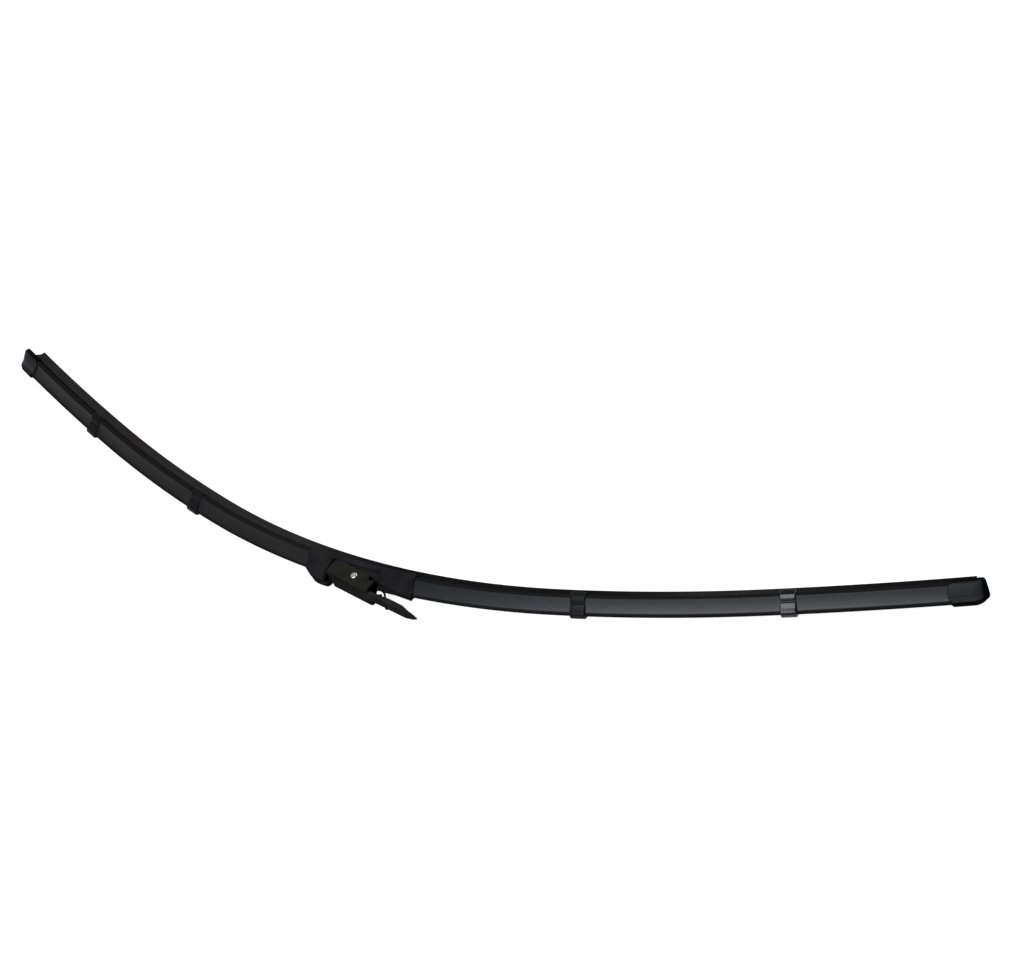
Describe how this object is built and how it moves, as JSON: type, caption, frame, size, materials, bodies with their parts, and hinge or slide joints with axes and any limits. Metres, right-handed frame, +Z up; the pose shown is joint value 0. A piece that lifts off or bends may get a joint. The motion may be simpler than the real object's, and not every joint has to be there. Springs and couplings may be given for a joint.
{
  "type": "wiper blade",
  "caption": "Flat bent wiper blade lying on its side: rubber lip on spring rails, ridged spoiler in two lengths, clips, end caps and a hinged arm adapter.",
  "frame": {"origin": "middle of the outer flat face of the arm adapter, over the pivot, where the wiper arm sits", "axes": "+X along the blade towards the arm, +Y towards the glass side (the side the bend is hollow on), +Z up across the width of the blade as it lies on its side"},
  "size_m": [0.6758, 0.1126, 0.0146],
  "materials": {
    "spoiler_rubber": "satin black rubber, smooth along the blade",
    "wiping_rubber": "dull black, dusted with graphite",
    "spring_steel": "blued spring strip",
    "cap_plastic": "fine grained black",
    "clip_metal": "glossy black paint",
    "base_plastic": "satin black moulding",
    "rivet_steel": "bright plated head",
    "adapter_plastic": "satin black with an olive tinge"
  },
  "bodies": {
    "blade": {"left_spoiler": "spoiler_rubber", "right_spoiler": "spoiler_rubber", "front_rail": "spring_steel", "back_rail": "spring_steel", "wiping_rubber": "wiping_rubber", "left_end_cap": "cap_plastic", "right_end_cap": "cap_plastic", "left_outer_clip": "clip_metal", "left_inner_clip": "clip_metal", "right_inner_clip": "clip_metal", "right_outer_clip": "clip_metal", "connector_base": "base_plastic", "pivot_rivet": "rivet_steel"},
    "adapter": {"arm_adapter": "adapter_plastic"}
  },
  "joints": [
    {"name": "adapter_pivot", "type": "hinge", "parent": "blade", "child": "adapter", "pos_m": [0.00088, 0.00509, 0], "axis": [0, 0, 1], "range_deg": [0, 9]}
  ]
}
